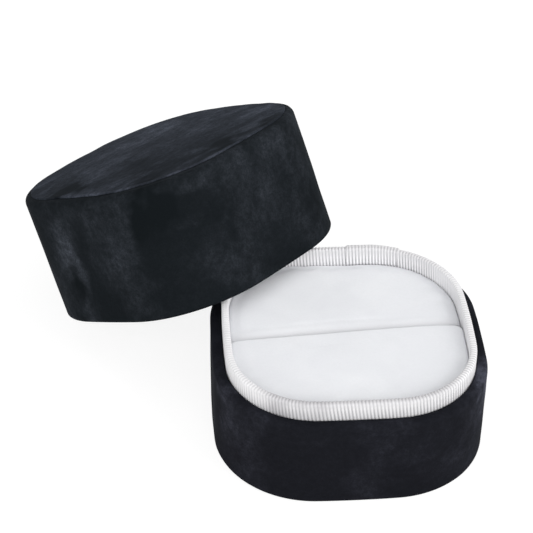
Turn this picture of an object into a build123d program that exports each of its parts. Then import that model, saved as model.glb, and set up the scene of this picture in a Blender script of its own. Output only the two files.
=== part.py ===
from build123d import *
from math import atan2, cos, degrees, hypot, radians, sin, sqrt, tan
import os

# A rounded-square velvet ring box: a base with a ribbon-covered neck and two ring pads,
# and a lift-off lid that leans with its rim on the table and across the neck.
# All sizes are in millimetres. The origin is the centre of the base's underside, +Z is up,
# the slit between the pads runs along X and the front pad is towards -Y.

# ---- Plan shape, shared by the base and the lid ----
box_width = 60.0            # across the velvet, side to side
side_radius = 226.0         # each side bows gently outwards
corner_radius = 21.9        # at the four corners, over the velvet

# ---- Walls, floors and velvet ----
base_height = 21.6          # from the table to the velvet ledge
lid_height = 30.2           # from the rim to the edge of the top
base_wall_board = 1.3
lid_wall_board = 1.3
floor_board = 1.8
top_board = 1.8
velvet = 0.6
base_turn_in = 7.0          # velvet folded down inside the base's wall
base_turn_under = 6.0       # velvet folded under the base
bottom_sheet_gap = 0.2      # between that fold and the bottom sheet
ledge_round = 1.2           # velvet over the base wall's outer top edge
ledge_inner_round = 0.35
foot_round = 0.9
lid_turn_in = 8.0
rim_round = 0.9
rim_inner_round = 0.35
lid_edge_round = 1.7
lid_seam_in = 2.2           # the wall's velvet is turned in over the top to this seam
lid_seam_groove = 0.2
board_fit = 0.05            # where one board drops inside another

# ---- Neck, the ribbon-covered collar that locates the lid ----
neck_rise = 4.0             # above the velvet ledge
neck_board = 1.0
ribbon = 0.3
neck_gap = 0.1              # between the ribbon and the velvet inside the wall
ribbon_tail_outside = 6.0   # how far the ribbon reaches below the ledge, outside
ribbon_tail_inside = 9.0    # and inside, both from the ledge
neck_round = 0.6            # over the ribbon's folded upper edge
neck_inner_round = 0.3
ribbon_lap_width = 12.0     # where the ribbon's ends overlap, at the back
ribbon_lap_place = 8.0      # centre of that overlap, along X
ribbon_lap_lift = 0.1       # the overlap stays this far above the ledge

# ---- Insert: a folded card platform with two soft pads ----
pad_drop = 2.0              # crest of the pads below the top of the neck
pad_thickness = 9.0         # from the platform to the crest
pad_cover = 0.4
pad_hem = 5.0               # cover folded under the foam
front_pad_fit = 0.15        # between the pad and the neck's ribbon
rear_pad_fit = 0.55
slit_width = 0.8            # between the pads, where a ring is pushed in
slit_place = -0.3           # along Y
slit_skew = 3.8             # degrees; the pads meet a little askew
front_pad_round = 1.2       # crisp upper edge
rear_pad_round = 2.0        # softer, rolls down into the slit
front_pad_corner = 2.5      # in plan, at the ends of the slit
rear_pad_corner = 3.5
pad_crown = 1.0             # how far the pads swell above their height at the neck's corners
platform_card = 1.2
platform_fit = 0.4          # between the card and the neck's ribbon
platform_slot_width = 2.4
platform_slot_length = 34.0
platform_leg_width = 20.0
platform_leg_inset = 6.4    # outer face of each folded leg, in from the velvet
platform_fold = 1.0         # outer radius of the folds

# ---- Lid: padded top outside, pale lining inside ----
wadding = 1.0               # at the middle of the top
wadding_edge = 0.4          # and at its corners
wadding_inset = 0.8         # from the edge of the board
liner_card = 0.8
lining = 0.4
liner_clearance = 0.7       # between the closed neck and the lining's lower edge
liner_fit = 0.05
ceiling_card = 0.8
ceiling_foam = 1.6          # at the middle of the ceiling pad
ceiling_pad_round = 0.9
ceiling_fit = 0.15
ceiling_crown = 0.8         # how far the ceiling pad swells at its middle

# ---- How the lid leans ----
lean_heading = 130.5        # degrees from +X; the lid's top leans back and to the left
lid_turn = 46.2             # degrees; the lid is turned about its own axis
lean_overlap = 12.3         # how far, in plan, the base's corner reaches under the lid
lean_gap = 0.2              # between the lid's rim and the neck

# ---- Worked out from the sizes above ----
half_width = box_width / 2
side_centre = half_width - side_radius          # a side arc's centre, across the box's axis
arc_step = side_radius - corner_radius
corner_centre = (side_centre + sqrt(2 * arc_step**2 - side_centre**2)) / 2
side_span = degrees(atan2(corner_centre, corner_centre - side_centre))

base_wall_in = velvet + base_wall_board         # insets, all measured in from the outer velvet
base_lining_in = base_wall_in + velvet
ribbon_out = base_lining_in + neck_gap
neck_out = ribbon_out + ribbon
neck_in = neck_out + neck_board
ribbon_in = neck_in + ribbon
lid_wall_in = velvet + lid_wall_board
lid_lining_in = lid_wall_in + velvet
liner_out = lid_lining_in + liner_fit
liner_in = liner_out + liner_card
lining_in = liner_in + lining

floor_top = velvet + floor_board
neck_top = base_height + neck_rise
pad_crest = neck_top - pad_drop
platform_top = pad_crest - pad_thickness
board_top = lid_height - velvet - wadding_edge  # upper face of the lid's top board
top_low = board_top - top_board
liner_low = neck_rise + liner_clearance
ceiling_top = top_low - ceiling_card
front_pad = (-1, front_pad_fit, front_pad_corner, front_pad_round)
rear_pad = (1, rear_pad_fit, rear_pad_corner, rear_pad_round)
slack = 1.0                                     # how far cutting shapes run past what they cut
fine = 0.01                                     # for picking edges that lie at one height


def outline(inset):
    """The box's plan, drawn in by inset: four wide side arcs and four tangent corner arcs."""
    arcs = []
    for quarter in range(4):
        turn = Rot(0, 0, 90 * quarter)
        side = CenterArc((side_centre, 0), side_radius - inset, -side_span, 2 * side_span)
        corner = CenterArc((corner_centre, corner_centre), corner_radius - inset,
                           side_span, 90 - 2 * side_span)
        arcs += [turn * side, turn * corner]
    return make_face(arcs)


def inset_at(x, y):
    """How far a point of the plan lies inside the outer velvet; negative is outside."""
    far, near = max(abs(x), abs(y)), min(abs(x), abs(y))
    if atan2(near, far - side_centre) <= radians(side_span):
        return side_radius - hypot(far - side_centre, near)
    return corner_radius - hypot(far - corner_centre, near - corner_centre)


def outline_point(inset, facing):
    """The point of the plan, drawn in by inset, whose outward normal has this heading."""
    quarter = round(facing / 90)
    turned = facing - 90 * quarter
    if abs(turned) <= side_span:
        centre, radius = (side_centre, 0), side_radius - inset
    else:
        corner_side = corner_centre if turned > 0 else -corner_centre
        centre, radius = (corner_centre, corner_side), corner_radius - inset
    point = Vector(centre[0] + radius * cos(radians(turned)),
                   centre[1] + radius * sin(radians(turned)), 0)
    return point.rotate(Axis.Z, 90 * quarter)


def plan_reach(heading):
    """How far the plan reaches from its middle towards a heading."""
    point = outline_point(0, heading)
    return point.X * cos(radians(heading)) + point.Y * sin(radians(heading))


def block(inset, low, high):
    """A solid of the plan, drawn in by inset, between two heights."""
    return Pos(0, 0, low) * extrude(outline(inset), high - low)


def eased(solid, radius, end=-1, flats=3):
    """The solid with its upper (end -1) or lower (end 0) edge eased by flats set round an arc."""
    step = 90 / flats
    reached = 0
    for flat in range(flats):
        rim = solid.faces().sort_by(Axis.Z)[end]
        drop = radius * (1 - sin(radians(flat * step)))
        across = radius * (1 - cos(radians(flat * step))) + drop * tan(radians((flat + 0.5) * step))
        last_lean = radians((flat - 0.5) * step) if flat else 0
        solid = chamfer(rim.edges(), across - reached, drop / cos(last_lean), reference=rim)
        reached = across
    return solid


def inner_edges(solid, height, inset):
    """The edges at one height that lie further in than inset."""
    level = solid.edges().filter_by_position(Axis.Z, height - fine, height + fine)
    return [edge for edge in level if inset_at(*tuple(edge @ 0.5)[:2]) > inset]


def band(outer, inner, low, high):
    """A strip bent round the plan between two insets and two heights."""
    return block(outer, low, high) - block(inner, low - slack, high + slack)


def crown_radius(inset, crown):
    """Radius of a dome that swells by crown over the plan, drawn in by inset, to its corners."""
    reach = plan_reach(45) - inset
    return (reach**2 + crown**2) / (2 * crown)


def ball(radius):
    """A sphere turned so that its seam and poles lie clear of the domes cut with it."""
    return Rot(90, 0, 0) * Sphere(radius)


def domed(solid, inset, crest, crown, skin):
    """The solid with its top cut to a shallow dome; skin is the depth below the finished face."""
    radius = crown_radius(inset, crown) - skin
    return solid & Pos(0, 0, crest - skin - radius) * ball(radius)


# ---- Base ----
def base_velvet_wrap():
    """One velvet strip round the wall, turned in over the top and under the foot."""
    skin = eased(block(0, 0, base_height), ledge_round)
    skin = eased(skin, foot_round, end=0, flats=2)
    skin -= block(velvet, velvet, base_height - velvet)
    skin -= block(base_lining_in, base_height - velvet - slack, base_height + slack)
    skin -= block(velvet + base_turn_under, -slack, velvet + slack)
    fold = band(base_wall_in, base_lining_in, base_height - base_turn_in, base_height - velvet)
    wrap = skin + fold
    return chamfer(inner_edges(wrap, base_height, base_wall_in), ledge_inner_round)


def base_wall():
    return band(velvet, base_wall_in, velvet, base_height - velvet)


def base_floor():
    return block(base_wall_in + board_fit, velvet, floor_top)


def base_bottom_sheet():
    return block(velvet + base_turn_under + bottom_sheet_gap, 0, velvet)


# ---- Neck ----
def neck_strip():
    return band(neck_out, neck_in, floor_top, neck_top - ribbon)


def folded_ribbon(layers):
    """The space that so many layers of ribbon fill, folded over the neck's upper edge."""
    extra = (layers - 1) * ribbon
    top = neck_top + extra
    outside = eased(block(ribbon_out - extra, base_height - ribbon_tail_outside, top),
                    neck_round + extra, flats=2)
    lower = block(neck_out + neck_board / 2, base_height - ribbon_tail_inside,
                  base_height - ribbon_tail_outside)
    form = outside + lower - block(ribbon_in + extra, -slack, top + slack)
    form = chamfer(inner_edges(form, top, neck_in), neck_inner_round)
    return form - band(neck_out, neck_in, -slack, neck_top - ribbon)


def neck_ribbon():
    """Ribbon folded over the neck's upper edge, with its ends overlapped at the back."""
    lap_low = base_height + ribbon_lap_lift
    lap_box = Box(ribbon_lap_width, half_width, neck_rise + slack,
                  align=(Align.CENTER, Align.MIN, Align.MIN))
    lap = folded_ribbon(2) & Pos(ribbon_lap_place, 0, lap_low) * lap_box
    return folded_ribbon(1) + lap


# ---- Insert ----
def pad_half(side, inset, drawn_in, low, high, corner):
    """One half of the insert's plan: side -1 is in front of the slit and 1 behind it."""
    solid = block(inset, low, high)
    reach = 2 * box_width
    keep = Box(reach, reach, reach, align=(Align.CENTER, Align.MIN, Align.CENTER))
    keep = Pos(0, slit_width / 2 + drawn_in, 0) * keep
    if side < 0:
        keep = Rot(0, 0, 180) * keep
    solid &= Pos(0, slit_place, 0) * Rot(0, 0, slit_skew) * keep
    upright = [edge for edge in solid.edges().filter_by(Axis.Z)
               if side * (edge.center().Y - slit_place) < box_width / 8]
    return fillet(upright, corner)


def pad_form(side, fit, corner, edge_round, skin):
    """A crowned pad; skin is how far its faces lie inside the finished cover."""
    solid = pad_half(side, ribbon_in + fit + skin, skin, platform_top + skin,
                     pad_crest + slack, corner - skin)
    solid = domed(solid, ribbon_in, pad_crest, pad_crown, skin)
    return eased(solid, edge_round - skin, flats=2 if skin else 3)


def pad_velvet(side, fit, corner, edge_round):
    """Velvet stretched over the foam and folded under its edge."""
    cover = pad_form(side, fit, corner, edge_round, 0)
    cover -= pad_form(side, fit, corner, edge_round, pad_cover)
    window = pad_half(side, ribbon_in + fit + pad_hem, pad_hem, platform_top - slack,
                      platform_top + pad_cover, corner)
    return cover - window


def insert_platform():
    """A card with a slot, standing on two legs folded down at its front and back."""
    inset = ribbon_in + platform_fit
    plate = block(inset, platform_top - platform_card, platform_top)
    span = box_width - 2 * platform_leg_inset
    plate &= Pos(0, 0, platform_top) * Box(box_width, span, 2 * box_width)
    leg_length = platform_top - floor_top
    profile = Pos(0, 0, floor_top) * Box(platform_leg_width, span, leg_length,
                                         align=(Align.CENTER, Align.CENTER, Align.MIN))
    folds = [edge for edge in profile.edges().filter_by(Axis.X) if edge.center().Z > platform_top - 0.1]
    profile = fillet(folds, platform_fold)
    tunnel = Box(platform_leg_width + slack, span - 2 * platform_card, leg_length,
                 align=(Align.CENTER, Align.CENTER, Align.MIN))
    profile -= Pos(0, 0, floor_top - platform_card) * tunnel
    sides = Pos(0, 0, platform_top) * Box(platform_leg_width, 3 * box_width, 4 * box_width)
    flat = Pos(0, 0, platform_top) * Box(2 * box_width, span - 2 * platform_fold, 4 * box_width)
    plate = (plate - sides) + (plate & flat)
    slot = Pos(0, slit_place, platform_top) * Rot(0, 0, slit_skew) * extrude(
        SlotOverall(platform_slot_length, platform_slot_width), 2 * platform_card, both=True)
    return plate + profile - slot


# ---- Lid, in its own frame: rim at Z = 0, top upwards ----
def lid_wall():
    return band(velvet, lid_wall_in, velvet, board_top)


def lid_top():
    return block(lid_wall_in + board_fit, top_low, board_top)


def top_dome(inset, skin):
    """A block of the lid up to its crowned top; skin is the depth below the velvet's face."""
    crown = wadding - wadding_edge
    return domed(block(inset, 0, lid_height + crown + slack), 0, lid_height + crown, crown, skin)


def lid_wadding():
    return top_dome(velvet + wadding_inset, velvet) - block(-slack, -slack, board_top)


def lid_skin():
    """All the velvet outside the lid, over its wall, wadding and top, as one shell."""
    skin = eased(top_dome(0, 0), lid_edge_round)
    skin = eased(skin, rim_round, end=0, flats=2)
    return skin - block(velvet, velvet, board_top) - lid_wadding()


def lid_velvet_top():
    """The velvet panel over the padded top, inside the seam."""
    panel = lid_skin() & block(lid_seam_in, board_top, lid_height + wadding)
    rim = panel.faces().sort_by(Axis.Z)[-1]
    return chamfer(rim.edges(), lid_seam_groove)


def lid_velvet_wrap():
    """Velvet round the lid's wall, turned in over the rim and over the top's edge."""
    skin = lid_skin() - block(lid_lining_in, -slack, velvet + slack)
    skin -= block(lid_seam_in, board_top, lid_height + wadding)
    fold = band(lid_wall_in, lid_lining_in, velvet, lid_turn_in)
    wrap = skin + fold
    return chamfer(inner_edges(wrap, 0, lid_wall_in), rim_inner_round)


def lid_liner_card():
    """A card strip inside the wall, stopping short of the rim to leave room for the neck."""
    return band(liner_out, liner_in, liner_low + lining, top_low)


def lid_liner_cover():
    """Lining over the card's inner face, folded round its lower edge."""
    face = band(liner_in, lining_in, liner_low, top_low)
    fold = band(liner_out, liner_in, liner_low, liner_low + lining)
    return face + fold


def ceiling_form(skin):
    """The pad against the lid's ceiling, crowned downwards."""
    inset = lining_in + ceiling_fit
    low = ceiling_top - ceiling_foam - lining
    solid = block(inset + skin, low - slack, ceiling_top)
    radius = crown_radius(inset, ceiling_crown) - skin
    solid &= Pos(0, 0, low + skin + radius) * ball(radius)
    return eased(solid, ceiling_pad_round - skin, end=0, flats=1 if skin else 2)


def lid_ceiling_card():
    return block(lining_in + ceiling_fit, ceiling_top, top_low)


def lid_ceiling_foam():
    return ceiling_form(lining)


def lid_ceiling_cover():
    return ceiling_form(0) - ceiling_form(lining)


# ---- The lid's lean ----
def lid_place(tilt):
    """Where the lid's own frame lies when its top leans by tilt and its rim meets the table."""
    reach = plan_reach(lean_heading - lid_turn)
    distance = plan_reach(lean_heading) - lean_overlap + reach * cos(radians(tilt))
    middle = Pos(distance * cos(radians(lean_heading)), distance * sin(radians(lean_heading)),
                 reach * sin(radians(tilt)))
    return middle * Rot(0, 0, lean_heading) * Rot(0, tilt, 0) * Rot(0, 0, lid_turn - lean_heading)


def rim_clearance(tilt):
    """The least height of the leaning rim above the neck, where it crosses over it."""
    place = lid_place(tilt)
    least = box_width
    for inset in (0, lid_lining_in):
        for facing in range(0, 360, 3):
            point = (place * Pos(outline_point(inset, facing))).position
            if inset_at(point.X, point.Y) > ribbon_out:
                least = min(least, point.Z - neck_top)
    return least


def lean_angle():
    """The tilt at which the rim just clears the neck by lean_gap, found by halving."""
    flat, steep = 5.0, 60.0
    for _ in range(24):
        middle = (flat + steep) / 2
        if rim_clearance(middle) < lean_gap:
            flat = middle
        else:
            steep = middle
    return steep


tilt = lean_angle()
lean = lid_place(tilt)
print("lid leans by", round(tilt, 3), "degrees, placed at", lean.position)

base_parts = {
    "base_velvet_wrap": base_velvet_wrap(),
    "base_wall_board": base_wall(),
    "base_floor_board": base_floor(),
    "base_bottom_sheet": base_bottom_sheet(),
    "neck_board": neck_strip(),
    "neck_ribbon": neck_ribbon(),
    "insert_platform": insert_platform(),
    "front_pad_foam": pad_form(*front_pad, pad_cover),
    "front_pad_cover": pad_velvet(*front_pad),
    "rear_pad_foam": pad_form(*rear_pad, pad_cover),
    "rear_pad_cover": pad_velvet(*rear_pad),
}

lid_parts = {
    "lid_velvet_wrap": lid_velvet_wrap(),
    "lid_velvet_top": lid_velvet_top(),
    "lid_wall_board": lid_wall(),
    "lid_top_board": lid_top(),
    "lid_top_wadding": lid_wadding(),
    "lid_liner_card": lid_liner_card(),
    "lid_liner_cover": lid_liner_cover(),
    "lid_ceiling_card": lid_ceiling_card(),
    "lid_ceiling_foam": lid_ceiling_foam(),
    "lid_ceiling_cover": lid_ceiling_cover(),
}

os.makedirs("parts", exist_ok=True)
for name, solid in base_parts.items():
    export_step(solid, f"parts/{name}.step")
for name, solid in lid_parts.items():
    export_step(lean * solid, f"parts/{name}.step")
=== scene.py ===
from math import acos, atan2, ceil, cos, pi, radians, sin, sqrt, tan

import bmesh
import bpy
import numpy as np
from mathutils import Matrix, Vector, kdtree, noise


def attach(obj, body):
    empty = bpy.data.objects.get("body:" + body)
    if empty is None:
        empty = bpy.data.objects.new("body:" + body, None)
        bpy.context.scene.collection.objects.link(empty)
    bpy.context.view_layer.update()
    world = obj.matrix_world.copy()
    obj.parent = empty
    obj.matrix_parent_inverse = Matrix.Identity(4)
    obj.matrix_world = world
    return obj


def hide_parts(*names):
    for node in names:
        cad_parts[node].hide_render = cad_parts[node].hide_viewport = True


# A rounded-square velvet ring box: its base, a ribbon-covered neck with two soft pads,
# and a lift-off lid that leans beside it. Lengths are in millimetres until a mesh is made.

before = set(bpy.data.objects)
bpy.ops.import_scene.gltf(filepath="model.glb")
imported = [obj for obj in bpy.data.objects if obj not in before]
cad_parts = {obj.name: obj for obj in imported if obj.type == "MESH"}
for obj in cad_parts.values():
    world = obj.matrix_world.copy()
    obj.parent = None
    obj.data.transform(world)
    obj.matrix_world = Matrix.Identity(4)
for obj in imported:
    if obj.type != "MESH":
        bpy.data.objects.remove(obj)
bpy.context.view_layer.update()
MM = 0.001

# ---- Sizes, as in the CAD source ----
HALF_WIDTH = 30.0
SIDE_RADIUS = 226.0
CORNER_RADIUS = 21.9
SIDE_CENTRE = HALF_WIDTH - SIDE_RADIUS
CORNER_CENTRE = (SIDE_CENTRE + sqrt(2 * (SIDE_RADIUS - CORNER_RADIUS)**2 - SIDE_CENTRE**2)) / 2
SIDE_SPAN = atan2(CORNER_CENTRE, CORNER_CENTRE - SIDE_CENTRE)
CORNER_REACH = CORNER_CENTRE * sqrt(2) + CORNER_RADIUS      # from the middle out to a corner

VELVET = 0.6
LEDGE = 21.6                # the base's upper edge
WALL_IN = 1.9               # inner face of the board walls
LINING_IN = 2.5             # inner face of the velvet turned in over them
BASE_TURN_IN = 7.0          # velvet folded down inside the base's wall
BASE_TURN_UNDER = 6.6       # and folded under, measured in from the outer velvet
LID_TURN_IN = 8.0           # velvet folded up inside the lid's wall
RIBBON_OUT = 2.6
NECK_OUT = 2.9
NECK_IN = 3.9
RIBBON_IN = 4.2
NECK_TOP = 25.6
RIBBON_TAIL_OUTSIDE = 6.0   # how far the ribbon reaches below the ledge
RIBBON_TAIL_INSIDE = 9.0
PAD_LOW = 14.6
PAD_CREST = 23.6
PAD_CROWN = 1.0
LID_HEIGHT = 30.2
LID_CROWN = 0.6
LINER_OUT = 2.55
LINER_IN = 3.35
LID_LINING_IN = 3.75
LINER_LOW = 4.7
CEILING_LOW = 24.6
CEILING_TOP = 26.6
CEILING_CROWN = 0.8
BOARD_LOW = 27.4

LID_MIDDLE = Vector((-31.2041, 36.5353, 13.9194))       # of its rim, as it leans
LEAN_HEADING = 130.5        # degrees from +X; the lid's top leans back and to the left
LEAN = 27.062
LID_TURN = 46.2             # degrees about the lid's own axis
LID_PLACE = (Matrix.Translation(LID_MIDDLE * MM)
             @ Matrix.Rotation(radians(LEAN_HEADING), 4, "Z")
             @ Matrix.Rotation(radians(LEAN), 4, "Y")
             @ Matrix.Rotation(radians(LID_TURN - LEAN_HEADING), 4, "Z"))

# ---- How finely the pieces are divided ----
WALL_PLACES = 336           # places round the plan, on the velvet walls
TOP_PLACES = 504            # on the lid's top
PLAIN_PLACES = 168          # and on what is out of sight
ARC_STEP = 0.25             # the longest step along a rounding


# ---- Camera ----
def set_camera():
    """The photograph's viewing angle."""
    camera = bpy.data.objects.new("camera", bpy.data.cameras.new("camera"))
    bpy.context.collection.objects.link(camera)
    camera.data.lens = 122.563
    camera.data.sensor_width = 36.0
    camera.data.clip_start = 0.01
    place = Vector((-41.040, -307.662, 275.505)) * MM
    target = Vector((-15.783, 28.282, 20.0)) * MM
    facing = (target - place).to_track_quat("-Z", "Y").to_matrix().to_4x4()
    roll = Matrix.Rotation(radians(0.508), 4, "Z")
    camera.matrix_world = Matrix.Translation(place) @ facing @ roll
    bpy.context.scene.camera = camera


set_camera()


# ---- Mesh tools ----
def plan(count, inset=0.0, first=0.0, last=1.0, closed=True):
    """Places spaced evenly round the plan: arc centre, arc radius and outward normal of each."""
    side = (SIDE_RADIUS - inset) * 2 * SIDE_SPAN
    corner = (CORNER_RADIUS - inset) * (pi / 2 - 2 * SIDE_SPAN)
    share = np.arange(count) / (count if closed else count - 1)
    along = (first + (last - first) * share) % 1.0 * 4 * (side + corner)
    quarter = np.floor(along / (side + corner))
    along = along - quarter * (side + corner)
    on_side = along < side
    facing = np.where(on_side, -SIDE_SPAN + along / (SIDE_RADIUS - inset),
                      SIDE_SPAN + (along - side) / (CORNER_RADIUS - inset))
    x = np.where(on_side, SIDE_CENTRE, CORNER_CENTRE)
    y = np.where(on_side, 0.0, CORNER_CENTRE)
    turn = quarter * pi / 2
    centre = np.stack([x * np.cos(turn) - y * np.sin(turn), x * np.sin(turn) + y * np.cos(turn)], 1)
    facing = facing + turn
    return {"centre": centre, "radius": np.where(on_side, SIDE_RADIUS, CORNER_RADIUS),
            "normal": np.stack([np.cos(facing), np.sin(facing)], 1), "facing": facing,
            "closed": closed}


def inset_at(x, y):
    """How far points of the plan lie inside the outer velvet."""
    far, near = np.maximum(abs(x), abs(y)), np.minimum(abs(x), abs(y))
    on_side = np.arctan2(near, far - SIDE_CENTRE) <= SIDE_SPAN
    return np.where(on_side, SIDE_RADIUS - np.hypot(far - SIDE_CENTRE, near),
                    CORNER_RADIUS - np.hypot(far - CORNER_CENTRE, near - CORNER_CENTRE))


def rounded(corners, step):
    """Points along a closed section; each corner is (inset, height, radius of its rounding).

    A stretch between two corners with no rounding is out of sight and isn't divided."""
    path, hidden = [], []
    for i, (inset, height, radius) in enumerate(corners):
        here = np.array((inset, height))
        back = np.array(corners[i - 1][:2]) - here
        ahead = np.array(corners[(i + 1) % len(corners)][:2]) - here
        back, ahead = back / np.linalg.norm(back), ahead / np.linalg.norm(ahead)
        if not radius:
            path.append(here)
            hidden.append(not corners[(i + 1) % len(corners)][2])
            continue
        half = acos(np.clip(back @ ahead, -1, 1)) / 2
        bisector = (back + ahead) / np.linalg.norm(back + ahead)
        centre = here + bisector * radius / sin(half)
        start = here + back * radius / tan(half) - centre
        end = here + ahead * radius / tan(half) - centre
        begin = atan2(start[1], start[0])
        swing = (atan2(end[1], end[0]) - begin + pi) % (2 * pi) - pi
        count = max(3, ceil(abs(swing) * radius / min(step, ARC_STEP)))
        for k in range(count + 1):
            angle = begin + swing * k / count
            path.append(centre + radius * np.array((cos(angle), sin(angle))))
            hidden.append(False)
    points = []
    for here, there, plain in zip(path, path[1:] + path[:1], hidden):
        count = 1 if plain else max(1, round(np.linalg.norm(there - here) / step))
        points += [here + (there - here) * k / count for k in range(count)]
    return np.array(points)


def make(name, points, faces, body, material, place=None, sharp=40):
    """A mesh object from points in millimetres, riding on a body."""
    mesh = bpy.data.meshes.new(name)
    mesh.from_pydata((np.asarray(points) * MM).tolist(), [], faces)
    tidy = bmesh.new()
    tidy.from_mesh(mesh)
    bmesh.ops.recalc_face_normals(tidy, faces=tidy.faces)
    tidy.to_mesh(mesh)
    tidy.free()
    mesh.shade_smooth()
    mesh.set_sharp_from_angle(angle=radians(sharp))
    piece = bpy.data.objects.new(name, mesh)
    bpy.context.collection.objects.link(piece)
    piece.data.materials.append(material)
    if place:
        piece.matrix_world = place
    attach(piece, body)
    return piece


def grid_faces(rows, columns, round_rows):
    """Faces of a grid of points whose columns, and maybe rows, close on themselves."""
    i = np.arange(rows if round_rows else rows - 1)[:, None]
    j = np.arange(columns)[None, :]
    ni, nj = (i + 1) % rows, (j + 1) % columns
    quads = np.stack([i * columns + j, ni * columns + j, ni * columns + nj, i * columns + nj], -1)
    return quads.reshape(-1, 4).tolist()


def swept(around, inset, height):
    """Points of a section carried round the plan; rows are places, columns run along it."""
    reach = around["radius"][:, None] - inset
    x = around["centre"][:, :1] + reach * around["normal"][:, :1]
    y = around["centre"][:, 1:] + reach * around["normal"][:, 1:]
    return np.stack([x, y, np.broadcast_to(height, x.shape)], -1).reshape(-1, 3)


def sweep_faces(around, columns):
    rows = len(around["radius"])
    faces = grid_faces(rows, columns, round_rows=around["closed"])
    if not around["closed"]:
        faces += [list(range(columns)), list(range((rows - 1) * columns, rows * columns))]
    return faces


def stacked(rings):
    """Points and faces of a closed form: rings of points, one on the next, and two ends."""
    rows, count = len(rings), len(rings[0])
    faces = grid_faces(rows, count, round_rows=False)
    faces += [list(range(count)), list(range((rows - 1) * count, rows * count))]
    return np.concatenate(rings), faces


def eased_step(value, low, high):
    """A smooth rise from 0 to 1 between two values."""
    t = np.clip((value - low) / (high - low), 0, 1)
    return t * t * (3 - 2 * t)


def soft_noise(points, size, seed):
    """Smooth noise from -1 to 1 at each point, with bumps about this size."""
    shift = Vector((seed * 17.3, seed * 5.9, seed * 11.1))
    return np.array([noise.noise(Vector(p) / size + shift) for p in points])


def mark(piece, name, values):
    """A value at each point, for the piece's material."""
    layer = piece.data.attributes.new(name, "FLOAT", "POINT")
    layer.data.foreach_set("value", np.asarray(values, np.float32))


def mark_nap_and_painted_light(piece, spots, seed, extra=0.0):
    """Marks soft-edged places where the pile is brushed light, or dark for a negative amount; on
    the ribbon the marks are painted shade, and along the lid top's rolled edge a painted highlight.

    Each spot is (place, across, tall, amount), and extra is an amount to add everywhere."""
    points = np.array([v.co for v in piece.data.vertices]) / MM
    warp = np.stack([soft_noise(points, 5, seed + k) for k in range(3)], 1)
    warp += 0.5 * np.stack([soft_noise(points, 2, seed + 3 + k) for k in range(3)], 1)
    bent = points + 2.6 * warp
    total = np.zeros(len(points)) + extra
    for (x, y, z), across, tall, amount in spots:
        off = bent - (x, y, z)
        far = (off[:, 0]**2 + off[:, 1]**2) / across**2 + off[:, 2]**2 / tall**2
        total += amount * np.exp(-far)
    mark(piece, "brushed", np.clip(total, -0.9, 1.5))


# ---- Materials ----
def material(name, roughness, specular, sheen=0.0, sheen_roughness=0.5, sheen_tint=(1, 1, 1)):
    """A new node material and its shader, with the values that are the same all over."""
    made = bpy.data.materials.new(name)
    made.use_nodes = True
    shader = made.node_tree.nodes["Principled BSDF"]
    shader.inputs["Roughness"].default_value = roughness
    shader.inputs["Specular IOR Level"].default_value = specular
    shader.inputs["Sheen Weight"].default_value = sheen
    shader.inputs["Sheen Roughness"].default_value = sheen_roughness
    shader.inputs["Sheen Tint"].default_value = (*sheen_tint, 1)
    return made, shader


class Nodes:
    """Short ways to add and join nodes in one material."""

    def __init__(self, made):
        self.tree = made.node_tree
        self.where = self.add("ShaderNodeTexCoord").outputs["Object"]

    def add(self, kind, **settings):
        node = self.tree.nodes.new(kind)
        for key, value in settings.items():
            setattr(node, key, value)
        return node

    def join(self, output, socket):
        self.tree.links.new(output, socket)

    def put(self, node, values):
        for key, value in values.items():
            if isinstance(value, bpy.types.NodeSocket):
                self.join(value, node.inputs[key])
            else:
                node.inputs[key].default_value = value
        return node

    def mapped(self, scale, turn=(0, 0, 0)):
        node = self.add("ShaderNodeMapping")
        node.inputs["Scale"].default_value = scale
        node.inputs["Rotation"].default_value = turn
        self.join(self.where, node.inputs["Vector"])
        return node.outputs["Vector"]

    def noise(self, scale, detail, rough, warp=0.0, vector=None):
        node = self.add("ShaderNodeTexNoise")
        self.put(node, {"Vector": vector or self.where, "Scale": scale, "Detail": detail,
                        "Roughness": rough, "Distortion": warp})
        return node.outputs["Fac"]

    def math(self, operation, a, b):
        node = self.add("ShaderNodeMath", operation=operation)
        self.put(node, {0: a, 1: b})
        return node.outputs[0]

    def fit(self, value, low, high, to_low=0.0, to_high=1.0):
        node = self.add("ShaderNodeMapRange", interpolation_type="SMOOTHSTEP")
        self.put(node, {"Value": value, "From Min": low, "From Max": high,
                        "To Min": to_low, "To Max": to_high})
        return node.outputs["Result"]

    def mix(self, factor, a, b):
        node = self.add("ShaderNodeMix", data_type="RGBA")
        self.put(node, {0: factor, 6: a, 7: b})
        return node.outputs[2]

    def bump(self, height, distance, strength, under=None):
        node = self.add("ShaderNodeBump")
        self.put(node, {"Height": height, "Distance": distance, "Strength": strength})
        if under:
            self.join(under, node.inputs["Normal"])
        return node.outputs["Normal"]

    def attribute(self, name):
        return self.add("ShaderNodeAttribute", attribute_name=name).outputs["Fac"]


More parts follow.
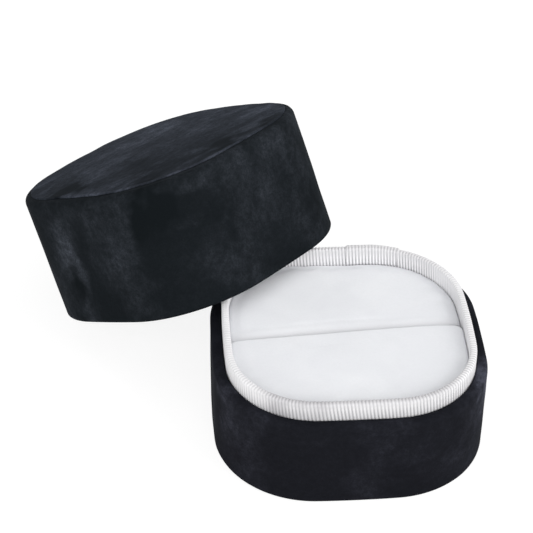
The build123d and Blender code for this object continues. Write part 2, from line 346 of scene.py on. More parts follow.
def velvet_black(name, dark, light, streak, turn, lift, cloudy):
    """Short black pile, brushed lighter in soft cloudy patches.

    Streak and turn stretch and turn the clouds, cloudy is how light they are, and lift how
    light the pile is between them."""
    made, shader = material(name, 0.9, 0.02, sheen=0.010, sheen_roughness=0.4,
                            sheen_tint=(0.78, 0.86, 1.0))
    n = Nodes(made)
    brushed = n.mapped(streak, (0, 0, turn))
    cloud = n.noise(62, 3.0, 0.6, 0.5, brushed)
    wisps = n.noise(230, 4.0, 0.65, 0.9, brushed)
    clumps = n.noise(800, 3.0, 0.6)
    pile = n.noise(2600, 2.0, 0.6)
    natural = n.math("MULTIPLY", n.fit(cloud, 0.38, 0.80, 0.0, cloudy),
                     n.fit(wisps, 0.3, 0.7, 0.3, 1.0))
    placed = n.math("MULTIPLY", n.attribute("brushed"), n.fit(wisps, 0.28, 0.72, 0.5, 1.0))
    pale = n.math("ADD", n.math("ADD", natural, placed), lift)
    pale = n.math("MULTIPLY", pale, n.fit(clumps, 0.3, 0.7, 0.68, 1.32))
    pale = n.math("MULTIPLY", pale, n.fit(pile, 0.3, 0.7, 0.7, 1.3))
    n.join(n.mix(pale, (*dark, 1), (*light, 1)), shader.inputs["Base Color"])
    fine = n.bump(pile, 0.00005, 0.5)
    n.join(n.bump(clumps, 0.00010, 0.35, fine), shader.inputs["Normal"])
    return made


def ribbon_white(name):
    """Ribbed white ribbon; the ribs are in the mesh, shade is painted into their grooves, and
    threads cross the grooves.
    """
    made, shader = material(name, 0.75, 0.1, sheen=0.04, sheen_roughness=0.4)
    n = Nodes(made)
    threads = n.noise(2600, 2.0, 0.6, 0.0, n.mapped((1, 1, 0.35)))
    tone = n.noise(120, 2.0, 0.5)
    # Painted shade in the grooves between the ribs.
    colour = n.mix(n.attribute("groove"), (0.90, 0.895, 0.905, 1), (0.17, 0.165, 0.18, 1))
    colour = n.mix(n.fit(tone, 0.3, 0.8, 0.0, 0.16), colour, (0.80, 0.79, 0.81, 1))
    # Painted shade, from the ribbon's brushed mark.
    colour = n.mix(n.attribute("brushed"), colour, (0.36, 0.35, 0.37, 1))
    n.join(colour, shader.inputs["Base Color"])
    n.join(n.bump(threads, 0.00004, 0.5), shader.inputs["Normal"])
    return made


def pad_velvet(name):
    """White short pile, faintly mottled, with shade painted along the slit."""
    made, shader = material(name, 0.9, 0.15, sheen=0.25, sheen_roughness=0.5,
                            sheen_tint=(0.95, 0.97, 1.0))
    n = Nodes(made)
    cloud = n.noise(70, 3.0, 0.5, 0.5)
    pile = n.noise(1900, 2.0, 0.6)
    colour = n.mix(n.fit(cloud, 0.3, 0.75), (0.805, 0.815, 0.845, 1), (0.85, 0.86, 0.885, 1))
    colour = n.mix(n.fit(pile, 0.35, 0.7, 0.0, 0.12), colour, (0.70, 0.705, 0.73, 1))
    # Painted shade along the slit, where the front pad's higher edge shades the rear pad.
    colour = n.mix(n.attribute("painted_slit_shade"), colour, (0.61, 0.61, 0.63, 1))
    n.join(colour, shader.inputs["Base Color"])
    n.join(n.bump(pile, 0.00005, 0.4), shader.inputs["Normal"])
    return made


def lining_pale(name):
    """Pale plain-woven lining."""
    made, shader = material(name, 0.6, 0.3, sheen=0.2)
    n = Nodes(made)
    warp = n.add("ShaderNodeTexWave", bands_direction="Z")
    n.put(warp, {"Vector": n.where, "Scale": 700.0, "Distortion": 1.5, "Detail": 2.0})
    weft = n.add("ShaderNodeTexWave", bands_direction="DIAGONAL")
    n.put(weft, {"Vector": n.mapped((1, -1, 0)), "Scale": 600.0, "Distortion": 1.0})
    weave = n.math("MULTIPLY", warp.outputs["Fac"], weft.outputs["Fac"])
    colour = n.mix(n.fit(weave, 0.0, 0.8), (0.66, 0.66, 0.67, 1), (0.80, 0.80, 0.81, 1))
    n.join(colour, shader.inputs["Base Color"])
    n.join(n.bump(weave, 0.00008, 0.4), shader.inputs["Normal"])
    return made


def greyboard(name):
    """Pressed grey card with short fibres and specks."""
    made, shader = material(name, 0.85, 0.25)
    n = Nodes(made)
    fibres = n.noise(900, 4.0, 0.7, 1.0, n.mapped((1, 0.3, 1)))
    specks = n.noise(2500, 1.0, 0.5)
    colour = n.mix(fibres, (0.28, 0.265, 0.24, 1), (0.44, 0.42, 0.39, 1))
    colour = n.mix(n.fit(specks, 0.66, 0.72, 0.0, 0.7), colour, (0.16, 0.15, 0.14, 1))
    n.join(colour, shader.inputs["Base Color"])
    n.join(n.bump(fibres, 0.00006, 0.5), shader.inputs["Normal"])
    return made


BASE_VELVET = velvet_black("velvet_base", (0.0066, 0.0070, 0.0092), (0.062, 0.065, 0.086),
                           (1, 1, 0.9), 0.0, lift=0.04, cloudy=0.22)
LID_VELVET = velvet_black("velvet_lid", (0.0057, 0.0076, 0.0090), (0.068, 0.076, 0.093),
                          (1, 1, 0.8), 0.4, lift=0.035, cloudy=0.30)
# The top's velvet has its own streaky nap, and is painted lighter all over than the wall's, as
# painted sheen for the grazing angle it is seen at.
TOP_VELVET = velvet_black("velvet_lid_top", (0.0080, 0.0102, 0.0130), (0.082, 0.093, 0.120),
                          (0.6, 1.4, 1), 0.9, lift=0.18, cloudy=0.82)
RIBBON = ribbon_white("ribbon")
PAD = pad_velvet("pad_velvet")
LINING = lining_pale("lining")
BOARD = greyboard("greyboard")

for board in ("base_wall_board", "base_floor_board", "neck_board", "insert_platform",
              "lid_wall_board", "lid_top_board", "lid_liner_card", "lid_ceiling_card"):
    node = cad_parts[board]
    node.data.materials.clear()
    node.data.materials.append(BOARD)


# ---- Base velvet ----
def wall_waver(points, seed):
    """Small unevenness of velvet over card, across the wall."""
    return 0.10 * (soft_noise(points, 14, seed) + 0.5 * soft_noise(points, 5, seed + 1))


def push_out(points, around, columns, amounts):
    """Moves swept points along the plan's outward normal."""
    rows = len(around["radius"])
    moved = points.reshape(rows, columns, 3).copy()
    moved[:, :, :2] += around["normal"][:, None, :] * amounts.reshape(rows, columns, 1)
    return moved.reshape(-1, 3)


def base_velvet():
    """Velvet round the wall, turned in over the top and under the foot."""
    low = LEDGE - BASE_TURN_IN
    section = rounded([(BASE_TURN_UNDER, 0, 0.15), (0, 0, 0.9), (0, LEDGE, 1.2),
                       (LINING_IN, LEDGE, 0.45), (LINING_IN, low, 0.2), (WALL_IN, low, 0),
                       (WALL_IN, LEDGE - VELVET, 0), (VELVET, LEDGE - VELVET, 0),
                       (VELVET, VELVET, 0), (BASE_TURN_UNDER, VELVET, 0.15)], 0.6)
    around = plan(WALL_PLACES)
    points = swept(around, section[:, 0], section[:, 1])
    outer = np.tile(section[:, 0] < 0.45, WALL_PLACES) & (points[:, 2] > 0.3)
    points = push_out(points, around, len(section), np.where(outer, wall_waver(points, 3), 0))
    on_ledge = points[:, 2] > LEDGE - 0.4
    points[:, 2] += np.where(on_ledge, 0.07 * soft_noise(points, 7, 8), 0)
    piece = make("base_velvet_skin", points, sweep_faces(around, len(section)), "base",
                 BASE_VELVET)
    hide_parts("base_velvet_wrap")
    mark_nap_and_painted_light(piece, [((-28.4, -15.6, 19.5), 2.2, 2.8, 0.42), ((-26.8, -18.9, 15.5), 2.6, 3.0, 0.26),
                  ((-27.3, -18.2, 11.0), 2.6, 3.5, 0.14), ((-25.9, -20.5, 3.0), 7.0, 3.5, 0.08),
                  ((28.2, -13.5, 18.0), 2.8, 6.5, 1.45), ((27.2, -16.8, 19.0), 2.4, 4.5, 0.75),
                  ((27.0, -18.6, 13.0), 2.4, 6.0, 0.15), ((9.0, -29.8, 8.0), 6.0, 5.0, -0.06),
                  ((12.0, 29.0, 12.0), 5.0, 7.0, 0.30), ((-22.0, 25.0, 9.0), 4.0, 6.0, 0.35)], 51)


def base_bottom():
    """The sheet under the base, inside the velvet folded under, with softened edges."""
    around = plan(PLAIN_PLACES)
    inset = BASE_TURN_UNDER + 0.06
    ease = 0.12
    rim = [(inset + ease, 0), (inset, ease), (inset, VELVET - ease), (inset + ease, VELVET)]
    rings = [swept(around, np.array([[d]]), np.array([[z]])) for d, z in rim]
    shares = (0.85, 0.6, 0.35, 0.12)
    rings = ([rings[0] * (s, s, 1) for s in reversed(shares)] + rings
             + [rings[-1] * (s, s, 1) for s in shares])
    points, faces = stacked(rings)
    piece = make("base_bottom_velvet", points, faces, "base", BASE_VELVET)
    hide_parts("base_bottom_sheet")


base_velvet()
base_bottom()


# ---- Ribbon round the neck ----
RIBS = 240
RIB_STEPS = 6
RIB_DEPTH = 0.16
LAP_RIBS = 16
LAP_STEPS = 8
LAP_OUT = 0.25                  # the lap lies this far outside the ribbon under it
LAP_SPAN = (0.2165, 0.2832)     # shares of the way round from the right; 0.297 is mid back


def ribbon_section(extra, low_outside, low_inside):
    """Section of the ribbon folded over the neck's upper edge, extra further out."""
    top = NECK_TOP + extra
    out, back = RIBBON_OUT - extra, RIBBON_IN + extra
    inner_out, inner_back = NECK_OUT - extra, NECK_IN + extra
    return rounded([(out, low_outside, 0.1), (out, top, 0.62 + extra), (back, top, 0.5 + extra),
                    (back, low_inside, 0.1), (inner_back, low_inside, 0),
                    (inner_back, top - 0.3, 0), (inner_out, top - 0.3, 0),
                    (inner_out, low_outside, 0)], 0.8)


def wander(count, step, *place):
    """Smooth noise at places a step apart along a line."""
    return np.array([noise.noise(Vector((i * step, *place))) for i in range(count)])


def ribbed(name, around, section, extra, ribs):
    """The folded ribbon with its ribs standing across it; a lap lies extra further out."""
    rows, columns = len(around["radius"]), len(section)
    tangent = np.roll(section, -1, 0) - np.roll(section, 1, 0)
    facing = np.stack([tangent[:, 1], -tangent[:, 0]], 1)
    facing /= np.linalg.norm(facing, axis=1)[:, None]
    middle = (NECK_OUT + NECK_IN) / 2
    away = section - np.array((middle, NECK_TOP - 4))
    facing *= np.sign((facing * away).sum(1))[:, None]
    shown = ((section[:, 0] < NECK_OUT - extra - 0.05) | (section[:, 0] > NECK_IN + extra + 0.05)
             | (section[:, 1] > NECK_TOP + extra - 0.25))
    along = np.arange(rows) / rows * ribs
    drift = wander(rows, 0.011, extra * 9, 2.0)
    lean = wander(rows, 0.004, 5.0, extra * 7)
    height = np.where(section[:, 0] < middle, 1, -1) * np.abs(section[:, 1] - NECK_TOP)
    turn = along[:, None] + 0.35 * drift[:, None] - (0.14 + 0.10 * lean[:, None]) * height[None, :]
    crest = np.abs(np.cos(pi * turn))**0.85
    groove = (1 - crest) * shown[None, :]
    inset = section[:, 0][None, :] - groove * RIB_DEPTH * facing[:, 0][None, :]
    high = section[:, 1][None, :] - groove * RIB_DEPTH * facing[:, 1][None, :]
    # The ribbon's edge stands a little higher near the middle of the back.
    to_back = around["facing"] - radians(98)
    lifted = 0.07 * wander(rows, 0.009, 1.0, 4.0 + extra) + 0.55 * np.exp(-(to_back / 0.30)**2)
    high = high + lifted[:, None] * np.clip((high - LEDGE) / 4, 0, 1)
    piece = make(name, swept(around, inset, high), sweep_faces(around, columns), "base",
                 RIBBON, sharp=60)
    # The shade painted into the grooves is lighter at the left and round the back, full inside the
    # back, and lighter near the upper edge.
    depth = 0.50 + 0.50 * eased_step(around["normal"][:, 0], -0.66, -0.50)
    depth *= 0.45 + 0.55 * eased_step(-around["normal"][:, 1], -0.3, 0.5)
    inside = (section[:, 0] > middle)[None, :]
    at_back = eased_step(around["normal"][:, 1], 0.2, 0.9)[:, None]
    depth = np.maximum(depth[:, None], inside * at_back)
    lower = 0.60 + 0.40 * eased_step(NECK_TOP - high, 0.2, 3.0)
    # Shade painted into the grooves, as deep as they are.
    mark(piece, "groove", (groove * lower * depth).reshape(-1))
    # Shade is painted on the ribbon along its upper edge, all over at the front, high inside the
    # back, and in two spots at the front left.
    at_front = eased_step(-around["normal"][:, 1], 0.6, 0.9)[:, None]
    painted_shade = (0.08 + 0.17 * at_front) * (1 - eased_step(NECK_TOP - high, 0.0, 1.2))
    painted_shade += 0.19 * at_front
    painted_shade += 0.20 * inside * at_back * (1 - eased_step(NECK_TOP - high, 0.8, 2.2))
    mark_nap_and_painted_light(piece, [((-16.5, -24.5, 22.0), 3.5, 3.0, 0.50), ((-10.0, -27.3, 22.5), 3.0, 2.6, 0.25)],
          81, painted_shade.reshape(-1))
    return piece


def ribbon():
    """The ribbon round the neck, and the lap where its ends meet at the back."""
    section = ribbon_section(0, LEDGE - RIBBON_TAIL_OUTSIDE, LEDGE - RIBBON_TAIL_INSIDE)
    wrap = ribbed("neck_ribbon_wrap", plan(RIBS * RIB_STEPS, RIBBON_OUT), section, 0, RIBS)
    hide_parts("neck_ribbon")
    around = plan(LAP_RIBS * LAP_STEPS, RIBBON_OUT, *LAP_SPAN, closed=False)
    lap_low = LEDGE + 0.15
    ribbed("neck_ribbon_lap", around, ribbon_section(LAP_OUT, lap_low, lap_low), LAP_OUT,
           LAP_RIBS)


ribbon()


# ---- Pads ----
SKEW = radians(3.9)
SLIT_PLACE = -0.50
PAD_START = PAD_CREST - 0.9     # before the pads swell
PAD_PLACES = 300                # round each pad's outline
PAD_MIDDLE = 12.5               # a place inside each pad, this far from the box's middle
SWELL_SCALE = 10                # the cloth is simulated this many times larger
SWELL_VOXEL = 0.8
SWELL_PRESSURE = 1.2
SWELL_FRAMES = 20
SWELL_CAP = 0.6                 # the furthest that a point may move


def pad_depths(x, y, side):
    """How far points lie inside a pad's edge along the neck, and inside its edge at the slit."""
    to_neck = inset_at(x, y) - (RIBBON_IN + 0.05)
    line = SLIT_PLACE + tan(SKEW) * x - 0.002 * np.maximum(x - 14, 0)**2
    to_slit = side * (y - line) * cos(SKEW) - 0.04
    return to_neck, to_slit


def pad_depth(x, y, side, corner):
    """The distance inside a pad's outline, with its two corners rounded in plan."""
    a, b = pad_depths(x, y, side)
    corner = corner * (0.55 + 0.45 * eased_step(x, -5, 5))
    cut = corner - np.hypot(np.maximum(corner - a, 0), np.maximum(corner - b, 0))
    return np.where((a < corner) & (b < corner), cut, np.minimum(a, b))


def crown_drop(x, y, crown, reach):
    """How far a shallow dome falls from its crest, when it falls by crown at reach."""
    radius = (reach**2 + crown**2) / (2 * crown)
    return radius - np.sqrt(radius**2 - x**2 - y**2)


def rolled(depth, radius):
    """How far a quarter-round edge has dropped at some depth inside it."""
    left = np.clip(radius - depth, 0, None)
    return radius - np.sqrt(radius**2 - left**2)


def new_mesh(points, faces):
    mesh = bpy.data.meshes.new("shape")
    mesh.from_pydata(points.tolist(), [], faces)
    return mesh


def evaluated(item):
    """An object's mesh with its modifiers applied, as points and faces."""
    found = item.evaluated_get(bpy.context.evaluated_depsgraph_get())
    mesh = found.to_mesh()
    points = np.empty(len(mesh.vertices) * 3)
    mesh.vertices.foreach_get("co", points)
    faces = [list(face.vertices) for face in mesh.polygons]
    found.to_mesh_clear()
    return points.reshape(-1, 3), faces


def swelling(points, faces, held, guide):
    """How far each point of a pad moves as the pad swells when it is blown up as cloth.

    An evenly remeshed and larger copy is simulated, and each point moves as the copy does near
    that point's guide. What held picks stays put."""
    bigger = SWELL_SCALE * MM
    item = bpy.data.objects.new("cushion", new_mesh(points * bigger, faces))
    bpy.context.collection.objects.link(item)
    remesh = item.modifiers.new("even", "REMESH")
    remesh.mode = "VOXEL"
    remesh.voxel_size = SWELL_VOXEL * bigger
    start, even_faces = evaluated(item)
    item.modifiers.clear()
    item.data = new_mesh(start, even_faces)
    start = start / bigger
    fixed = item.vertex_groups.new(name="fixed")
    fixed.add(np.nonzero(held(start))[0].tolist(), 1.0, "REPLACE")
    cloth = item.modifiers.new("cloth", "CLOTH")
    cloth.settings.vertex_group_mass = "fixed"
    cloth.settings.effector_weights.gravity = 0
    cloth.settings.use_pressure = True
    cloth.settings.uniform_pressure_force = SWELL_PRESSURE
    cloth.collision_settings.use_collision = False
    cloth.point_cache.frame_start, cloth.point_cache.frame_end = 1, SWELL_FRAMES
    for step in range(1, SWELL_FRAMES + 1):
        bpy.context.scene.frame_set(step)
    move = evaluated(item)[0] / bigger - start
    bpy.context.scene.frame_set(1)
    bpy.data.objects.remove(item)

    tree = kdtree.KDTree(len(start))
    for i, spot in enumerate(start):
        tree.insert(spot, i)
    tree.balance()
    follow = np.zeros_like(points)
    for i, spot in enumerate(guide):
        near = tree.find_n(spot, 10)
        weight = np.array([1 / (0.2 + distance**2) for _, _, distance in near])
        follow[i] = weight @ move[[k for _, k, _ in near]] / weight.sum()
    follow[held(points)] = 0
    far = np.linalg.norm(follow, axis=1)[:, None]
    return follow * SWELL_CAP * np.tanh(far / SWELL_CAP) / np.maximum(far, 1e-9)


def pad(name, side, corner, roll_across, roll_deep, slit_fall, firm, nodes, seed):
    """A crowned pad as one closed form: top, rolled edge, drawn-in side and underside.

    Side is -1 in front of the slit and 1 behind it, and corner the outline's rounding at the
    slit. Roll_across and roll_deep are the rolled edge's width and drop along the neck, and
    slit_fall scales how far the top falls towards the slit and how much shade is painted there.
    Within firm of the neck the swelling is taken from further in."""
    middle = np.array((0.0, side * PAD_MIDDLE))
    angle = np.arange(PAD_PLACES) / PAD_PLACES * 2 * pi
    ray = np.stack([np.cos(angle), np.sin(angle)], 1)
    # Halving finds where each ray from the middle meets the outline.
    near, far = np.zeros(PAD_PLACES), np.full(PAD_PLACES, 1.5 * HALF_WIDTH)
    for _ in range(30):
        half = (near + far) / 2
        spot = middle + ray * half[:, None]
        inside = pad_depth(spot[:, 0], spot[:, 1], side, corner) > 0
        near, far = np.where(inside, half, near), np.where(inside, far, half)
    edge = middle + ray * near[:, None]
    rings = []
    for t in 1 - np.linspace(1, 0, 46)[:-1]**1.6:
        flat = edge + (middle - edge) * t**1.3
        x, y = flat[:, 0], flat[:, 1]
        a, b = pad_depths(x, y, side)
        left = 1 - eased_step(x, -24, 4)
        across = roll_across * (1 - 0.7 * left)
        drop = roll_deep * (1 - 0.6 * left) * rolled(np.maximum(a, 0), across) / across
        drop = np.maximum(drop, rolled(np.maximum(b, 0), 0.2))
        crown = crown_drop(x, y, PAD_CROWN, CORNER_REACH - RIBBON_IN)
        height = PAD_START - crown * (1 - left) * 0.5 - drop
        height -= slit_fall * (0.6 * (1 - np.clip(b / 20, 0, 1)) + 0.9 * (1 - eased_step(b, 0, 3)))
        rings.append(np.stack([x, y, height], 1))
    low = rings[0][:, 2].copy()
    outward = edge - middle
    outward /= np.linalg.norm(outward, axis=1)[:, None]
    side_rings = []
    for share in np.arange(1, 10) / 9:
        z = low + (PAD_LOW - low) * share
        draw = 0.35 * sin(pi * share)
        xy = edge - outward * draw
        side_rings.append(np.column_stack([xy, z]))
    under = [np.column_stack([edge + (middle - edge) * s, np.full(PAD_PLACES, PAD_LOW)])
             for s in (0.3, 0.6, 0.85)]
    points, faces = stacked(under[::-1] + side_rings[::-1] + rings)

    def held(spot):
        return spot[:, 2] < PAD_LOW + 0.8

    to_neck, to_slit = pad_depths(points[:, 0], points[:, 1], side)
    guide = points.copy()
    guide[:, 1] += side * np.clip(4 - to_slit, 0, 4)
    guide[:, :2] *= 1 - np.clip(firm - to_neck, 0, firm)[:, None] / 25
    guide[:, 2] = np.where((to_slit < 4) & ~held(points), PAD_START, points[:, 2])
    swell = swelling(points, faces, held, guide)
    swell[:, 2] *= np.clip((points[:, 2] - PAD_LOW) / (PAD_START - PAD_LOW), 0, 1)
    swell[:, :2] *= np.clip(np.minimum(to_neck, to_slit) / 1.5, 0, 1)[:, None]
    points = points + swell
    soft = 0.10 * soft_noise(points, 11, seed) + 0.05 * soft_noise(points, 4, seed + 1)
    soft *= np.clip(to_slit / 3, 0, 1)
    points[:, 2] += np.where(points[:, 2] > PAD_LOW + 2, soft, 0)
    piece = make(name, points, faces, "base", PAD, sharp=180)
    # Shade painted along the slit, strongest at its edge and fading out over 4 mm.
    mark(piece, "painted_slit_shade", slit_fall * 1.6 * np.clip(1 - to_slit / 4, 0, 1)**1.3)
    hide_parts(*nodes)


pad("front_ring_pad", -1, corner=2.4, roll_across=0.7, roll_deep=0.4, slit_fall=0.0, firm=3.0,
    nodes=("front_pad_foam", "front_pad_cover"), seed=21)
pad("rear_ring_pad", 1, corner=1.2, roll_across=3.2, roll_deep=1.0, slit_fall=0.5, firm=1.0,
    nodes=("rear_pad_foam", "rear_pad_cover"), seed=31)


# ---- Lid ----
SEAM_PLACE = radians(-135)      # the top's seam lies furthest in at the lid's front corner
SEAM_TURN_IN = 3.2              # the wall's velvet as first drawn, before it follows the seam


def seam_inset(around):
    """How far inside the lid's outer face the top's seam runs."""
    facing = around["facing"]
    near_corner = np.cos((facing - SEAM_PLACE) / 2)**16
    uneven = np.array([noise.noise(Vector((cos(f) * 2.2, sin(f) * 2.2, 3.0))) for f in facing])
    return 1.75 + 1.3 * near_corner + 0.35 * uneven


def lid_wall():
    """Velvet round the lid's wall, turned in over the rim and over the top as far as the seam."""
    around = plan(WALL_PLACES)
    section = rounded([(0, 0, 0.9), (0, LID_HEIGHT, 1.6), (SEAM_TURN_IN, LID_HEIGHT, 0.1),
                       (SEAM_TURN_IN, LID_HEIGHT - 0.45, 0), (0.75, LID_HEIGHT - 0.6, 0.4),
                       (VELVET, VELVET, 0), (WALL_IN, VELVET, 0), (WALL_IN, LID_TURN_IN, 0),
                       (LINING_IN, LID_TURN_IN, 0.2), (LINING_IN, 0, 0.45)], 0.6)
    half = SEAM_TURN_IN / 2
    on_top = np.clip((section[:, 0] - half) / half, 0, 1) * (section[:, 1] > 20)
    end = seam_inset(around)[:, None] + 0.35        # a little in under the top's panel
    points = swept(around, section[:, 0] + on_top * (end - SEAM_TURN_IN), section[:, 1])
    outer = np.tile(section[:, 0] < 0.45, WALL_PLACES) & (points[:, 2] > 0.3)
    points = push_out(points, around, len(section), np.where(outer, wall_waver(points, 5), 0))
    piece = make("lid_velvet_skin", points, sweep_faces(around, len(section)), "lid",
                 LID_VELVET, LID_PLACE)
    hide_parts("lid_velvet_wrap")
    mark_nap_and_painted_light(piece, [((-29.9, 5.4, 22.0), 2.6, 4.0, 0.50), ((-29.9, 4.0, 15.0), 2.2, 4.5, 0.50),
                  ((-29.8, -9.7, 21.5), 3.0, 5.0, 0.14), ((-29.3, -13.1, 20.0), 2.6, 4.5, 0.10),
                  ((-29.9, 6.6, 3.0), 2.4, 3.0, 0.40), ((-29.8, -9.7, 6.0), 2.4, 3.5, 0.16),
                  ((-24.0, -23.0, 26.0), 4.5, 5.0, -0.12), ((-27.5, -17.0, 26.0), 3.5, 5.0, -0.16),
                  ((-29.6, 9.5, 16.0), 2.4, 4.0, 0.34), ((-29.9, 6.9, 10.5), 3.2, 4.5, -0.15),
                  ((7.3, -29.9, 27.5), 4.5, 3.5, 0.24), ((2.0, -30.0, 20.5), 8.0, 6.0, 0.10),
                  ((-10.9, -29.7, 22.0), 4.0, 5.0, -0.04), ((-17.7, -27.6, 9.5), 4.0, 5.0, 0.14),
                  ((13.0, -29.2, 23.0), 2.4, 4.0, -0.12), ((13.5, -29.0, 8.0), 3.0, 5.0, -0.14),
                  ((19.7, -24.4, 30.0), 3.0, 3.0, 0.25), ((28.5, 14.0, 15.0), 4.0, 8.0, 0.40),
                  ((-8.0, 30.0, 18.0), 6.0, 6.0, 0.30)], 61)


def lid_top():
    """The padded top panel, its cut edge lying on the velvet turned in from the wall."""
    around = plan(TOP_PLACES)
    edge = swept(around, seam_inset(around)[:, None], np.array([[0.0]]))[:, :2]

    def crowned(flat):
        drop = crown_drop(flat[:, 0], flat[:, 1], LID_CROWN, CORNER_REACH)
        return LID_HEIGHT + LID_CROWN - drop

    rings = []
    shares = 1 - np.linspace(1, 0, 60)[:-1]**1.8
    for t in np.concatenate([[0, 0.004, 0.008, 0.014, 0.021], shares[1:]]):
        flat = edge * (1 - t)
        depth = np.linalg.norm(edge - flat, axis=1)
        rings.append(np.column_stack([flat, crowned(flat) + 0.28 - rolled(depth, 0.3) * 0.8]))
    under = []
    for share, drop in ((0.55, 0.75), (0.8, 0.75), (0.93, 0.7), (0.985, 0.5)):
        flat = edge * share
        under.append(np.column_stack([flat, crowned(flat) - drop]))
    rings = under + rings
    points, faces = stacked(rings)
    # Long low waves across the panel, and smaller ones all ways.
    long_way = np.stack([points[:, 0] * 0.35 + points[:, 1] * 0.2,
                         points[:, 1] * 1.2 - points[:, 0] * 0.7, np.zeros(len(points))], 1)
    points[:, 2] += 0.12 * soft_noise(long_way, 7, 12) + 0.06 * soft_noise(points, 4, 13)
    piece = make("lid_top_velvet", points, faces, "lid", TOP_VELVET, LID_PLACE,
                 sharp=70)
    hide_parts("lid_velvet_top", "lid_top_wadding")
    slope = (points[:, 0] + points[:, 1]) / 40
    # The panel's rolled edge is painted light towards the lid's corner at -X -Y: a painted
    # highlight where the edge catches light, over pile disturbed at the seam.
    on_edge = [0.3 if 3 <= k <= 8 else 0.0 for k in range(len(rings))]
    lip_highlight_and_seam_nap = np.repeat(on_edge, TOP_PLACES)
    lip_highlight_and_seam_nap *= np.clip(-slope, 0, 1) * eased_step(-points[:, 1], -2, 10)
    lip_highlight_and_seam_nap *= 1.0 + 0.5 * soft_noise(points, 3, 19)
    mark_nap_and_painted_light(piece, [((21.5, -14.0, 30.6), 4.0, 9.0, 0.75), ((12.0, 17.0, 30.8), 8.0, 9.0, 0.10),
                  ((-4.2, -19.4, 30.8), 3.0, 9.0, 0.50), ((12.4, 6.2, 30.8), 5.0, 9.0, 0.15),
                  ((-10.3, 2.0, 30.8), 4.0, 9.0, -0.25), ((-19.0, 11.0, 30.8), 5.0, 9.0, -0.08),
                  ((-5.0, 20.0, 30.8), 6.0, 9.0, 0.14), ((-23.5, 4.9, 30.8), 3.5, 9.0, -0.70),
                  ((-3.0, -26.5, 30.8), 6.0, 9.0, -0.62), ((-10.0, -6.0, 31.0), 6.0, 9.0, -0.14),
                  ((13.0, -24.0, 30.8), 4.0, 9.0, -0.20)], 71, lip_highlight_and_seam_nap + 0.20 * slope)


def lid_lining():
    """Lining on the liner card, folded round its lower edge."""
    high = BOARD_LOW - 0.1
    card_low = LINER_LOW + 0.4
    section = rounded([(LINER_IN, high, 0), (LINER_IN, card_low, 0), (LINER_OUT, card_low, 0),
                       (LINER_OUT, LINER_LOW, 0.18), (LID_LINING_IN, LINER_LOW, 0.3),
                       (LID_LINING_IN, high, 0)], 1.0)
    around = plan(PLAIN_PLACES)
    points = swept(around, section[:, 0], section[:, 1])
    piece = make("lid_lining", points, sweep_faces(around, len(section)), "lid",
                 LINING, LID_PLACE)
    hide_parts("lid_liner_cover")


def lid_ceiling():
    """The padded ceiling, crowned downwards."""
    around = plan(PLAIN_PLACES)
    inset = LID_LINING_IN + 0.15
    edge = swept(around, np.array([[inset]]), np.array([[0.0]]))[:, :2]
    rings = []
    for t in 1 - np.linspace(1, 0, 26)[:-1]**2:
        flat = edge * (1 - t)
        depth = np.linalg.norm(edge - flat, axis=1)
        rise = crown_drop(flat[:, 0], flat[:, 1], CEILING_CROWN, CORNER_REACH - inset)
        z = CEILING_LOW + rise + rolled(depth, 1.1)
        rings.append(np.column_stack([flat, np.minimum(z, CEILING_TOP - 0.05)]))
    above = [np.column_stack([edge * s, np.full(PLAIN_PLACES, CEILING_TOP)])
             for s in (0.6, 0.9, 0.995)]
    points, faces = stacked(above + rings)
    points[:, 2] += np.where(points[:, 2] < CEILING_TOP - 0.5, 0.1 * soft_noise(points, 9, 41), 0)
    piece = make("lid_ceiling_pad", points, faces, "lid", LINING, LID_PLACE,
                 sharp=70)
    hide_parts("lid_ceiling_foam", "lid_ceiling_cover")


lid_wall()
lid_top()
lid_lining()
lid_ceiling()


# ---- Floor, background and light ----
LAMPS_AIM = Vector((0, 0, 0.02))        # metres


def seen_directly(n):
    """1 for rays from the camera, or from a mirror or glass, and 0 for the rest."""
    path = n.add("ShaderNodeLightPath")
    glossy = n.math("MAXIMUM", path.outputs["Is Camera Ray"], path.outputs["Is Glossy Ray"])
    return n.math("MAXIMUM", glossy, path.outputs["Is Transmission Ray"])


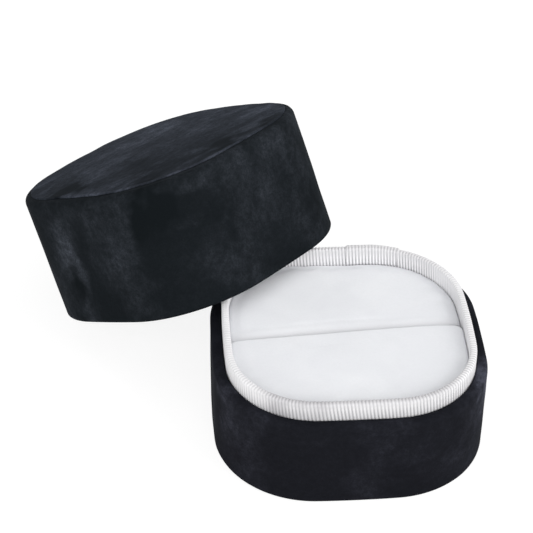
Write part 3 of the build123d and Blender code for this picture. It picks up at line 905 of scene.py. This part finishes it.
def set_floor():
    size = 3.0
    mesh = bpy.data.meshes.new("floor")
    mesh.from_pydata([(-size, -size, 0), (size, -size, 0), (size, size, 0), (-size, size, 0)],
                     [], [(0, 1, 2, 3)])
    floor = bpy.data.objects.new("floor", mesh)
    bpy.context.collection.objects.link(floor)
    made = bpy.data.materials.new("floor_pale")
    made.use_nodes = True
    n = Nodes(made)
    made.node_tree.nodes.remove(made.node_tree.nodes["Principled BSDF"])
    paper = n.put(n.add("ShaderNodeBsdfDiffuse"), {"Color": (0.85, 0.85, 0.85, 1)})
    faint = n.put(n.add("ShaderNodeBsdfDiffuse"), {"Color": (0.26, 0.26, 0.26, 1)})
    glow = n.put(n.add("ShaderNodeEmission"), {"Color": (1, 1, 1, 1), "Strength": 0.84})
    lit = n.add("ShaderNodeAddShader")
    n.join(faint.outputs[0], lit.inputs[0])
    n.join(glow.outputs[0], lit.inputs[1])
    both = n.add("ShaderNodeMixShader")
    n.join(seen_directly(n), both.inputs[0])
    n.join(paper.outputs[0], both.inputs[1])
    n.join(lit.outputs[0], both.inputs[2])
    n.join(both.outputs[0], made.node_tree.nodes["Material Output"].inputs["Surface"])
    mesh.materials.append(made)


def set_world():
    world = bpy.data.worlds.new("studio")
    bpy.context.scene.world = world
    world.use_nodes = True
    n = Nodes(world)
    around = world.node_tree.nodes["Background"]
    n.put(around, {"Color": (1, 1, 1, 1), "Strength": 0.47})
    white = n.put(n.add("ShaderNodeBackground"), {"Color": (1, 1, 1, 1), "Strength": 1.0})
    both = n.add("ShaderNodeMixShader")
    n.join(seen_directly(n), both.inputs[0])
    n.join(around.outputs[0], both.inputs[1])
    n.join(white.outputs[0], both.inputs[2])
    n.join(both.outputs[0], world.node_tree.nodes["World Output"].inputs["Surface"])


def softbox(name, place, size, watts):
    """A square lamp that shines on the object from place; place and size are in metres."""
    lamp = bpy.data.lights.new(name, "AREA")
    lamp.size = size
    lamp.energy = watts
    box = bpy.data.objects.new(name, lamp)
    bpy.context.collection.objects.link(box)
    box.location = place
    box.rotation_euler = (LAMPS_AIM - Vector(place)).to_track_quat("-Z", "Y").to_euler()
    box.visible_camera = False


set_floor()
set_world()
softbox("left", (-0.48, -0.52, 0.40), 0.56, 2.2)
softbox("right", (0.60, -0.36, 0.42), 0.60, 3.15)
softbox("front", (0.00, -0.72, 0.34), 0.50, 1.55)
softbox("top", (0.20, 0.05, 0.78), 0.80, 0.95)

bpy.context.scene.view_settings.view_transform = "Standard"
